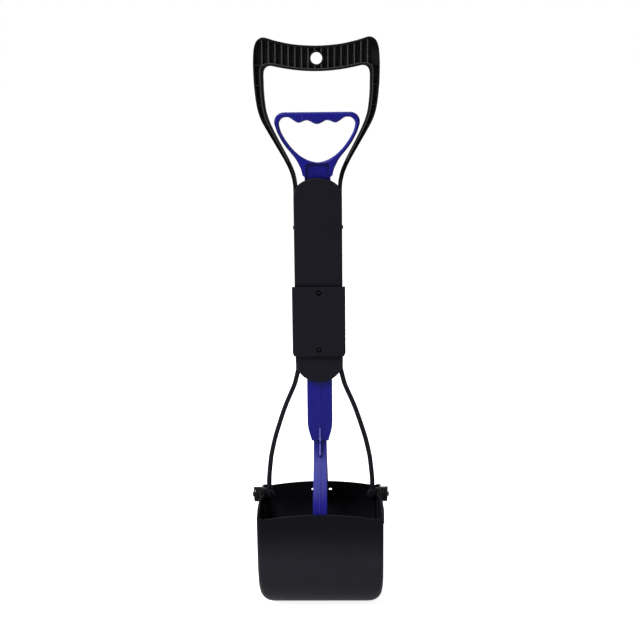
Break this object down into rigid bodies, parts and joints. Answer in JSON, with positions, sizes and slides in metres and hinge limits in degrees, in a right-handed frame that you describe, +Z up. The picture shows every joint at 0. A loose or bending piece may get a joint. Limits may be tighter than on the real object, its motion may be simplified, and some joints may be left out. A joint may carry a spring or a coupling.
{
  "type": "pooper scooper",
  "caption": "Long-handled pet-waste scoop with a D-grip frame, a pull handle on a sliding stem, and a two-jaw bucket that the stem's links open and torsion springs close.",
  "frame": {"origin": "on the ground, in the middle under the closed bucket", "axes": "+Z up along the shaft, +X to the right across the grip, +Y to the rear; the cross-head screws of the sleeve face -Y"},
  "size_m": [0.1748, 0.128, 0.711],
  "materials": {
    "black_plastic": "moulded, satin",
    "blue_plastic": "moulded, satin",
    "dark_steel": "black oxide"
  },
  "bodies": {
    "frame": {"upper_frame": "black_plastic", "upper_front_cover": "black_plastic", "upper_rear_cover": "black_plastic", "lower_front_cover": "black_plastic", "lower_rear_cover": "black_plastic", "upper_cover_screw_1": "dark_steel", "upper_cover_screw_2": "dark_steel", "upper_cover_screw_3": "dark_steel", "upper_cover_screw_4": "dark_steel", "lower_cover_screw_1": "dark_steel", "lower_cover_screw_2": "dark_steel", "lower_cover_screw_3": "dark_steel", "lower_cover_screw_4": "dark_steel", "sleeve_front": "black_plastic", "sleeve_rear": "black_plastic", "sleeve_screw_top": "dark_steel", "sleeve_screw_bottom": "dark_steel", "lower_left_leg": "black_plastic", "lower_right_leg": "black_plastic", "left_pivot_pin": "dark_steel", "right_pivot_pin": "dark_steel", "left_pin_retainer": "dark_steel", "right_pin_retainer": "dark_steel", "left_spring": "dark_steel", "right_spring": "dark_steel"},
    "puller": {"pull_handle": "blue_plastic", "lower_stem": "blue_plastic", "stem_joint_pin": "dark_steel", "link_pin": "dark_steel"},
    "front_link": {"front_link": "blue_plastic", "front_link_pin": "dark_steel"},
    "rear_link": {"rear_link": "blue_plastic", "rear_link_pin": "dark_steel"},
    "front_jaw": {"front_jaw": "black_plastic"},
    "rear_jaw": {"rear_jaw": "black_plastic"}
  },
  "joints": [
    {"name": "pull_slide", "type": "slide", "parent": "frame", "child": "puller", "axis": [0, 0, 1], "range_m": [0, 0.036]},
    {"name": "front_jaw_hinge", "type": "hinge", "parent": "frame", "child": "front_jaw", "pos_m": [0, 0, 0.1383], "axis": [-1, 0, 0], "range_deg": [0, 36], "stiffness_Nm_per_rad": 0.35, "springref_deg": -40.11, "deforming": ["left_spring", "right_spring"]},
    {"name": "rear_jaw_hinge", "type": "hinge", "parent": "frame", "child": "rear_jaw", "pos_m": [0, 0, 0.1383], "axis": [1, 0, 0], "range_deg": [0, 36], "stiffness_Nm_per_rad": 0.35, "springref_deg": -40.11, "deforming": ["left_spring", "right_spring"]},
    {"name": "front_link_hinge", "type": "hinge", "parent": "puller", "child": "front_link", "pos_m": [0, 0, 0.222], "axis": [1, 0, 0], "range_deg": [0, 1.2]},
    {"name": "rear_link_hinge", "type": "hinge", "parent": "puller", "child": "rear_link", "pos_m": [0, 0, 0.222], "axis": [-1, 0, 0], "range_deg": [0, 1.2]}
  ],
  "couplings": [
    {"joint": "front_jaw_hinge", "follows": "pull_slide", "rad_per_m": 17.35},
    {"joint": "rear_jaw_hinge", "follows": "pull_slide", "rad_per_m": 17.35},
    {"joint": "front_link_hinge", "follows": "pull_slide", "rad_per_m": 0.5},
    {"joint": "rear_link_hinge", "follows": "pull_slide", "rad_per_m": 0.5}
  ]
}
